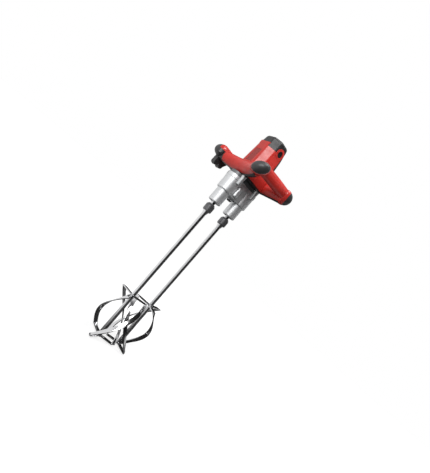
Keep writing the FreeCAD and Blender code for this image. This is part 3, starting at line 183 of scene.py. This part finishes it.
class Nodes:
    """A short way to add and join the shader nodes of a material or a world."""

    def __init__(self, owner):
        owner.use_nodes = True
        self.tree = owner.node_tree
        self.shader = self.tree.nodes.get("Principled BSDF")

    def add(self, kind, links=None, **values):
        node = self.tree.nodes.new(kind)
        for key, value in values.items():
            setattr(node, key, value)
        for socket, source in (links or {}).items():
            self.link(source, node.inputs[socket])
        return node

    def link(self, source, target):
        if hasattr(source, "outputs"):
            source = source.outputs[0]
        if hasattr(source, "is_output"):
            self.tree.links.new(source, target)
        else:
            target.default_value = source

    def math(self, operation, a, b=0.0):
        return self.add("ShaderNodeMath", {0: a, 1: b}, operation=operation)

    def dot(self, a, b):
        node = self.add("ShaderNodeVectorMath", {0: a, 1: b}, operation="DOT_PRODUCT")
        return node.outputs["Value"]

    def noise(self, scale, detail, stretch=EVEN):
        coordinates = self.add("ShaderNodeTexCoord").outputs["Object"]
        place = self.add("ShaderNodeMapping", {"Vector": coordinates, "Scale": stretch})
        return self.add("ShaderNodeTexNoise", {"Vector": place, "Scale": scale, "Detail": detail})

    def ramp(self, source, low, high, low_at, high_at):
        """Goes from low to high while the source goes from low_at to high_at."""
        limits = {"From Min": low_at, "From Max": high_at, "To Min": low, "To Max": high}
        return self.add("ShaderNodeMapRange", {"Value": source, **limits}, clamp=True)

    def mix(self, share, first, second):
        """A mix of two colours, each three numbers or a socket."""
        node = self.add("ShaderNodeMix", data_type="RGBA")
        # The factor and the two colours stand here among the sockets of all the node's data types
        for socket, value in ((0, share), (6, first), (7, second)):
            if isinstance(value, tuple):
                value = (*value, 1.0)
            self.link(value, node.inputs[socket])
        return node.outputs[2]

    def worn_edges(self):
        """About 1 where an edge sticks out and 0 on flat ground, broken up by noise."""
        bevel = self.add("ShaderNodeBevel", {"Radius": WORN_REACH}, samples=WORN_SAMPLES)
        normal = self.add("ShaderNodeNewGeometry").outputs["Normal"]
        edge = self.ramp(self.dot(bevel, normal), 1.0, 0.0, *WORN_EDGE)
        spots = self.ramp(self.noise(*WORN_NOISE), 0.0, 1.0, *WORN_SPOTS)
        return self.math("MULTIPLY", edge, spots)


def finish_material(
    name, colour, roughness, metallic=0.0, vary=0.12, grain=900.0, depth=0.00006, stretch=EVEN,
    worn=None, worn_share=0.5, rough_vary=0.08,
):
    """A surface with slow colour variation, patchy gloss, a fine grain and rubbed edges."""
    material = bpy.data.materials.new(name)
    n = Nodes(material)
    darker = tuple(c * (1 - vary) for c in colour)
    lighter = tuple(min(1.0, c * (1 + vary)) for c in colour)
    tint = n.mix(n.ramp(n.noise(*TINT_NOISE), 0.0, 1.0, *NOISE_SPREAD), darker, lighter)
    if worn:
        tint = n.mix(n.math("MULTIPLY", n.worn_edges(), worn_share), tint, worn)
    n.link(tint, n.shader.inputs["Base Color"])
    gloss = (roughness - rough_vary, roughness + rough_vary)
    n.link(n.ramp(n.noise(*GLOSS_NOISE), *gloss, *NOISE_SPREAD), n.shader.inputs["Roughness"])
    n.shader.inputs["Metallic"].default_value = metallic
    texture = n.noise(grain, GRAIN_DETAIL, stretch)
    bump = n.add("ShaderNodeBump", {"Height": texture, "Distance": depth, "Strength": 1.0})
    n.link(bump, n.shader.inputs["Normal"])
    return material


RED = (0.50, 0.024, 0.017)
MATERIALS = {
    "red_plastic": finish_material(
        "red_plastic", RED, 0.36, grain=1300.0, depth=0.000012,
        worn=(0.62, 0.06, 0.05), worn_share=0.25,
    ),
    "black_plastic": finish_material(
        "black_plastic", (0.016, 0.016, 0.017), 0.42, grain=1500.0, depth=0.000012,
        worn=(0.05, 0.05, 0.052), worn_share=0.2,
    ),
    "black_rubber": finish_material(
        "black_rubber", (0.034, 0.034, 0.035), 0.46, vary=0.2, grain=2200.0, depth=0.000012,
        worn=(0.04, 0.04, 0.04), worn_share=0.3,
    ),
    "dark_plate": finish_material(
        "dark_plate", (0.15, 0.153, 0.158), 0.46, metallic=0.4, grain=1800.0, depth=0.00001,
        worn=(0.2, 0.2, 0.21),
    ),
    "cast_aluminium": finish_material(
        "cast_aluminium", (0.64, 0.65, 0.66), 0.44, metallic=0.72, vary=0.04, grain=900.0, depth=0.000004,
        rough_vary=0.04,
    ),
    "bright_steel": finish_material(
        "bright_steel", (0.66, 0.66, 0.67), 0.19, metallic=1.0, vary=0.04, grain=420.0, depth=0.0000006,
        stretch=(1.0, 1.0, 14.0), rough_vary=0.04,
    ),
    "dark_steel": finish_material(
        "dark_steel", (0.13, 0.13, 0.135), 0.38, metallic=0.7, grain=700.0, depth=0.000003,
        stretch=(1.0, 1.0, 6.0), worn=(0.16, 0.16, 0.17), worn_share=0.6,
    ),
    "bearing_steel": finish_material(
        "bearing_steel", (0.55, 0.56, 0.58), 0.2, metallic=1.0, vary=0.05, grain=600.0, depth=0.000002,
        stretch=(1.0, 1.0, 8.0),
    ),
    "gear_steel": finish_material(
        "gear_steel", (0.40, 0.40, 0.42), 0.34, metallic=1.0, vary=0.08, grain=800.0, depth=0.000004,
        worn=(0.7, 0.7, 0.7),
    ),
    "lamination_steel": finish_material(
        "lamination_steel", (0.22, 0.22, 0.24), 0.5, metallic=0.8, grain=240.0, depth=0.0001,
        stretch=(0.1, 0.1, 9.0),
    ),
    "copper": finish_material(
        "copper", (0.56, 0.24, 0.12), 0.35, metallic=0.9, grain=300.0, depth=0.0001,
        stretch=(6.0, 6.0, 0.3),
    ),
    "carbon": finish_material("carbon", (0.05, 0.05, 0.055), 0.7, grain=2500.0, depth=0.00002),
}
PANEL_SHADE = 0.55  # the panel's red as a share of the moulding's
PANEL_RED = finish_material(
    "panel_red", tuple(PANEL_SHADE * c for c in RED), 0.3, grain=1600.0, depth=0.000006
)


def dress_nodes():
    """Gives each node of the model the surface of its material slot."""
    for entry in frame["record"]["subparts"]:
        mesh = nodes[entry["node"]].data
        mesh.materials.clear()
        mesh.materials.append(MATERIALS[entry["material_slot"]])


# Pieces


def add_piece(name, bm, body, slot, smooth_below=SMOOTH_BELOW):
    """Turns a finished bmesh into a piece that rides on a body and takes a slot's surface."""
    bmesh.ops.recalc_face_normals(bm, faces=bm.faces)
    mesh = bpy.data.meshes.new(name)
    bm.to_mesh(mesh)
    bm.free()
    mesh.shade_smooth()
    mesh.set_sharp_from_angle(angle=math.radians(smooth_below))
    mesh.materials.append(MATERIALS[slot])
    piece = bpy.data.objects.new(name, mesh)
    bpy.context.scene.collection.objects.link(piece)
    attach(piece, body)
    return piece


def stirrer_frame(side):
    """A stirrer's axis, its reach, and the heights of its upper and lower arms."""
    shaft_low, shaft_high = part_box("stirrer_" + side)
    low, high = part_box("blades_" + side)
    axis = Vector(((shaft_low.x + shaft_high.x) / 2, (shaft_low.y + shaft_high.y) / 2, 0.0))
    reach = max(axis.x - low.x, high.x - axis.x) - BLADE_INSET
    half = BLADE_THICKNESS / 2
    return axis, reach, high.z - half, low.z + half


def blade_rows(top_angle, sense, reach, head, foot):
    """The two edges of one blade, row by row.

    They run out along its upper arm, round and down the cage, and in along its lower arm.
    """
    half = BLADE_WIDTH / 2
    inner = reach - BLADE_WIDTH * math.sin(BLADE_LEAN)
    middle = (reach + inner) / 2
    height = head - foot
    rise = middle * BLADE_TURN / height

    def directions(share):
        angle = top_angle + sense * BLADE_TURN * share
        radial = Vector((math.cos(angle), math.sin(angle), 0.0))
        return radial, Vector((-radial.y, radial.x, 0.0)) * sense

    def arm(share, z):
        radial, ahead = directions(share)
        root = BLADE_ROOT * STIRRER_R
        line = []
        for out in (root, (root + inner) / 2):
            centre = radial * out + UP * z
            line.append((centre - ahead * half, centre + ahead * half))
        line.append((radial * reach - ahead * half + UP * z, radial * inner + ahead * half + UP * z))
        return line

    def corner(fold, near, next_row):
        """The rows that bend smoothly from the fold at the end of an arm into the wound part."""
        line = []
        for i in range(1, BLADE_CORNER_ROWS):
            share = i / BLADE_CORNER_ROWS
            edges = []
            for start, end, beyond in zip(fold, near, next_row):
                lead = end - (beyond - end).normalized() * (end - start).length / 2
                edges.append(start.lerp(lead, share).lerp(lead.lerp(end, share), share))
            line.append(tuple(edges))
        return line

    wound = []
    for i in range(BLADE_ROWS + 1):
        share = BLADE_CORNER_SHARE + (1 - 2 * BLADE_CORNER_SHARE) * i / BLADE_ROWS
        radial, ahead = directions(share)
        level = (ahead + UP * rise).normalized()
        across = radial * math.sin(BLADE_LEAN) - level * math.cos(BLADE_LEAN)
        centre = radial * middle + UP * (head - height * share)
        wound.append((centre + across * half, centre - across * half))
    upper = arm(0.0, head)
    lower = arm(1.0, foot)
    rows = upper + corner(upper[-1], wound[0], wound[1]) + wound
    rows.extend(reversed(corner(lower[-1], wound[-1], wound[-2])))
    rows.extend(reversed(lower))
    return rows


def add_strip(bm, rows, thickness):
    """A closed flat bar between two edge lines."""
    sheet = bmesh.new()
    lines = [[sheet.verts.new(a.lerp(b, share)) for share in (0.0, 0.5, 1.0)] for a, b in rows]
    for one, two in zip(lines, lines[1:]):
        for i in range(2):
            sheet.faces.new((one[i], one[i + 1], two[i + 1], two[i]))
    sheet.normal_update()
    top = [[bm.verts.new(v.co + v.normal * thickness / 2) for v in line] for line in lines]
    bottom = [[bm.verts.new(v.co - v.normal * thickness / 2) for v in line] for line in lines]
    sheet.free()
    edges = []
    for i in range(len(rows) - 1):
        for j in range(2):
            bm.faces.new((top[i][j], top[i][j + 1], top[i + 1][j + 1], top[i + 1][j]))
            bm.faces.new((bottom[i][j + 1], bottom[i][j], bottom[i + 1][j], bottom[i + 1][j + 1]))
        for j in (0, 2):
            bm.faces.new((top[i][j], top[i + 1][j], bottom[i + 1][j], bottom[i][j]))
            edges.append((top[i][j], top[i + 1][j]))
            edges.append((bottom[i][j], bottom[i + 1][j]))
    for end in (0, -1):
        for j in range(2):
            bm.faces.new((top[end][j], bottom[end][j], bottom[end][j + 1], top[end][j + 1]))
    return [bm.edges.get(pair) for pair in edges]


def add_weld(bm, angle, z):
    """A rippled bead on the shaft along one face of an arm."""
    rings = []
    for i in range(WELD_STEPS + 1):
        share = i / WELD_STEPS
        turn = angle + WELD_SPAN * (2 * share - 1)
        radial = Vector((math.cos(turn), math.sin(turn), 0.0))
        taper = math.sqrt(max(0.0, 1 - (2 * share - 1) ** WELD_BLUNTNESS))
        ripple = 1 + WELD_RIPPLE * math.sin(share * WELD_STEPS * WELD_WAVE)
        size = WELD_R * (taper * ripple + WELD_TIP)
        centre = radial * STIRRER_R + UP * z
        ring = []
        for j in range(WELD_SIDES):
            round_turn = math.tau * j / WELD_SIDES
            outward = radial * math.cos(round_turn) + UP * math.sin(round_turn)
            ring.append(bm.verts.new(centre + outward * size))
        rings.append(ring)
    for one, two in zip(rings, rings[1:]):
        for j in range(WELD_SIDES):
            bm.faces.new((one[j], one[j - 1], two[j - 1], two[j]))
    bm.faces.new(rings[0])
    bm.faces.new(rings[-1])


def make_stirrer_work(side):
    """The three blades of a stirrer and the welds that hold their arms."""
    axis, reach, head, foot = stirrer_frame(side)
    sense = -1 if side == "left" else 1
    first = LEFT_BLADE_ANGLE
    if side == "right":
        # The mirror image of the left blades, turned on by half a step so that they pass between those
        first = math.pi / BLADE_COUNT + math.pi - LEFT_BLADE_ANGLE
    blades = bmesh.new()
    welds = bmesh.new()
    for i in range(BLADE_COUNT):
        top_angle = first + math.tau * i / BLADE_COUNT
        edges = add_strip(blades, blade_rows(top_angle, sense, reach, head, foot), BLADE_THICKNESS)
        bmesh.ops.bevel(
            blades, geom=edges, offset=BLADE_EDGE_ROUND, offset_type="OFFSET", segments=BLADE_EDGE_STEPS,
            profile=0.5, affect="EDGES", clamp_overlap=True,
        )
        for angle, z in ((top_angle, head), (top_angle + sense * BLADE_TURN, foot)):
            faces = (1, -1) if z == head else (1,)
            for face in faces:
                add_weld(welds, angle, z + face * BLADE_THICKNESS / 2)
    for bm in (blades, welds):
        bmesh.ops.translate(bm, verts=bm.verts, vec=axis)
    body = STIRRER_BODIES[side]
    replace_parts(add_piece("bar_blades_" + side, blades, body, "bright_steel"), "blades_" + side)
    add_piece("weld_beads_" + side, welds, body, "gear_steel", WELD_SMOOTH_BELOW)


def make_label_panel():
    """A thin bare plate that fills the recess on the motor's side."""
    foot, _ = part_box("motor_housing")
    lean = math.atan2(MOTOR_TAPER, MOTOR_HEIGHT)
    place = Matrix.Translation((foot.x, 0.0, foot.z)) @ Matrix.Rotation(lean, 4, "Y")
    width, height = PANEL_SIZE
    outline = []
    for corner, (sy, sz) in enumerate(((1, 1), (-1, 1), (-1, -1), (1, -1))):
        for i in range(PANEL_CORNER_POINTS):
            turn = math.pi / 2 * (corner + i / (PANEL_CORNER_POINTS - 1))
            y = sy * (width / 2 - PANEL_CORNER_R) + PANEL_CORNER_R * math.cos(turn)
            z = sz * (height / 2 - PANEL_CORNER_R) + PANEL_CORNER_R * math.sin(turn)
            outline.append((y, PANEL_LIFT + z))
    bm = bmesh.new()
    back = [bm.verts.new(place @ Vector((PANEL_FLOOR, y, z))) for y, z in outline]
    front = [bm.verts.new(place @ Vector((PANEL_FLOOR - PANEL_THICKNESS, y, z))) for y, z in outline]
    bm.faces.new(back)
    bm.faces.new(front)
    for i in range(len(outline)):
        bm.faces.new((back[i - 1], back[i], front[i], front[i - 1]))
    panel = add_piece("label_panel", bm, ROOT, "red_plastic")
    panel.data.materials[0] = PANEL_RED


def add_screw(bm, place, outward):
    """A domed screw head with a cross recess, seated on a surface."""
    turn = UP.rotation_difference(outward).to_matrix()
    rings = []
    for i in range(SCREW_RINGS + 1):
        share = i / SCREW_RINGS
        ring = []
        for j in range(SCREW_SPOKES):
            angle = math.tau * j / SCREW_SPOKES
            x = SCREW_R * share * math.cos(angle)
            y = SCREW_R * share * math.sin(angle)
            z = SCREW_DOME * (1 - SCREW_RIM_DROP * share ** SCREW_DOME_POWER)
            if share < SCREW_SLOT_REACH and min(abs(x), abs(y)) < SCREW_SLOT:
                z -= SCREW_DOME * SCREW_SLOT_DEPTH
            ring.append(bm.verts.new(place + turn @ Vector((x, y, z))))
            if i == 0:
                break
        rings.append(ring)
    skirt = []
    for j in range(SCREW_SPOKES):
        angle = math.tau * j / SCREW_SPOKES
        rim = Vector((SCREW_R * math.cos(angle), SCREW_R * math.sin(angle), -SCREW_DOME / 2))
        skirt.append(bm.verts.new(place + turn @ rim))
    rings.append(skirt)
    for j in range(SCREW_SPOKES):
        bm.faces.new((rings[0][0], rings[1][j - 1], rings[1][j]))
    for one, two in zip(rings[1:], rings[2:]):
        for j in range(SCREW_SPOKES):
            bm.faces.new((one[j - 1], two[j - 1], two[j], one[j]))
    bm.faces.new(skirt)


def make_screws():
    """Screws under the left grip and in the rear cover's corners, each on the surface found there."""
    looks = []
    low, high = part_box("left_grip_lower")
    for x in GRIP_SCREW_X:
        looks.append(("left_grip_lower", Vector((x, (low.y + high.y) / 2, low.z - SCREW_SEARCH)), UP))
    _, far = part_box("rear_vent_cover")
    for y, z in COVER_SCREW_PLACES:
        looks.append(("rear_vent_cover", Vector((far.x + SCREW_SEARCH, y, z)), Vector((-1.0, 0.0, 0.0))))
    bm = bmesh.new()
    for node, start, direction in looks:
        hit, place, normal, _ = nodes[node].ray_cast(start, direction)
        if not hit:
            raise ValueError(f"no surface of {node} at {start}")
        add_screw(bm, place, normal)
    add_piece("small_screws", bm, ROOT, "dark_steel", SCREW_SMOOTH_BELOW)


# Stage


def make_camera():
    data = bpy.data.cameras.new("camera")
    data.sensor_width = SENSOR_MM
    data.lens = FOCAL_PX / IMAGE_HEIGHT * SENSOR_MM
    data.shift_x, data.shift_y = CAMERA_SHIFT
    data.clip_start = CAMERA_CLIP
    camera = bpy.data.objects.new("camera", data)
    bpy.context.scene.collection.objects.link(camera)
    up = UP * math.cos(CAMERA_ROLL) - LEVEL_RIGHT * math.sin(CAMERA_ROLL)
    right = AIM.cross(up)
    turn = Matrix((right, up, -AIM)).transposed()
    eye = UP * CAMERA_Z - AIM * CAMERA_DISTANCE
    camera.matrix_world = Matrix.Translation(eye) @ turn.to_4x4()
    bpy.context.scene.camera = camera


def room_level(n, direction):
    """How bright the room is in a direction: white on one side, dark with a tall strip on the other."""
    white = n.ramp(n.dot(direction, ROOM_WHITE), ROOM_DARK, 1.0, *ROOM_EDGE)
    off_middle = n.math("ABSOLUTE", n.dot(direction, STRIP_SIDE.cross(UP)))
    strip = n.ramp(off_middle, STRIP_LEVEL, 0.0, *STRIP_EDGE)
    facing = n.math("GREATER_THAN", n.dot(direction, STRIP_SIDE))
    return n.math("MAXIMUM", white, n.math("MULTIPLY", strip, facing))


def make_floor():
    """A pale sheet under the stirrers. It keeps the soft shadow near them and fades to plain white."""
    mesh = bpy.data.meshes.new("floor")
    low = cad_box[0][2] - FLOOR_DROP
    corners = [(x * FLOOR_SIZE, y * FLOOR_SIZE, low) for x, y in ((-1, -1), (1, -1), (1, 1), (-1, 1))]
    mesh.from_pydata(corners, [], [(0, 1, 2, 3)])
    floor = bpy.data.objects.new("floor", mesh)
    bpy.context.scene.collection.objects.link(floor)
    material = bpy.data.materials.new("floor")
    n = Nodes(material)
    n.shader.inputs["Roughness"].default_value = FLOOR_ROUGHNESS
    path = n.add("ShaderNodeLightPath")
    tone = n.mix(path.outputs["Is Glossy Ray"], (FLOOR_COLOUR,) * 3, (ROOM_DARK,) * 3)
    n.link(tone, n.shader.inputs["Base Color"])
    n.shader.inputs["Emission Color"].default_value = WHITE
    place = n.add("ShaderNodeTexCoord").outputs["Object"]
    level = n.add("ShaderNodeVectorMath", {0: place, 1: (1.0, 1.0, 0.0)}, operation="MULTIPLY")
    away = n.add("ShaderNodeVectorMath", {0: level}, operation="LENGTH")
    outward = n.add("ShaderNodeVectorMath", {0: level}, operation="NORMALIZE")
    glow = n.ramp(away.outputs["Value"], *FLOOR_GLOW, *FLOOR_GLOW_REACH)
    seen = n.math("MULTIPLY", glow, path.outputs["Is Camera Ray"])
    far = n.ramp(away.outputs["Value"], ROOM_DARK, 1.0, *FLOOR_MIRROR_REACH)
    room = n.math("MULTIPLY", room_level(n, outward), far)
    mirrored = n.math("MULTIPLY", room, path.outputs["Is Glossy Ray"])
    n.link(n.math("ADD", seen, mirrored), n.shader.inputs["Emission Strength"])
    mesh.materials.append(material)


def make_world():
    """White behind the tool, soft light all round, and for metal a room that it mirrors."""
    world = bpy.data.worlds.new("studio")
    bpy.context.scene.world = world
    n = Nodes(world)
    soft = n.tree.nodes["Background"]
    soft.inputs["Color"].default_value = WHITE
    soft.inputs["Strength"].default_value = SOFT_LIGHT
    white = n.add("ShaderNodeBackground", {"Color": WHITE})
    direction = n.add("ShaderNodeTexCoord").outputs["Generated"]
    room = n.add("ShaderNodeBackground", {"Color": WHITE, "Strength": room_level(n, direction)})
    path = n.add("ShaderNodeLightPath")
    mirrored = n.add("ShaderNodeMixShader", {0: path.outputs["Is Glossy Ray"], 1: soft, 2: room})
    seen = n.add("ShaderNodeMixShader", {0: path.outputs["Is Camera Ray"], 1: mirrored, 2: white})
    n.link(seen, n.tree.nodes["World Output"].inputs["Surface"])


def add_area_light(name, place, target, size, power, mirrored):
    data = bpy.data.lights.new(name, "AREA")
    data.size = size
    data.energy = power
    light = bpy.data.objects.new(name, data)
    light.visible_glossy = mirrored
    bpy.context.scene.collection.objects.link(light)
    direction = Vector(target) - Vector(place)
    turn = direction.to_track_quat("-Z", "Y").to_matrix()
    light.matrix_world = Matrix.Translation(place) @ turn.to_4x4()


dress_nodes()
for stirrer_side in STIRRER_BODIES:
    make_stirrer_work(stirrer_side)
make_label_panel()
make_screws()
make_camera()
make_world()
make_floor()
for lamp, lamp_values in LAMPS.items():
    add_area_light(lamp, *lamp_values)
bpy.context.scene.view_settings.view_transform = "Standard"
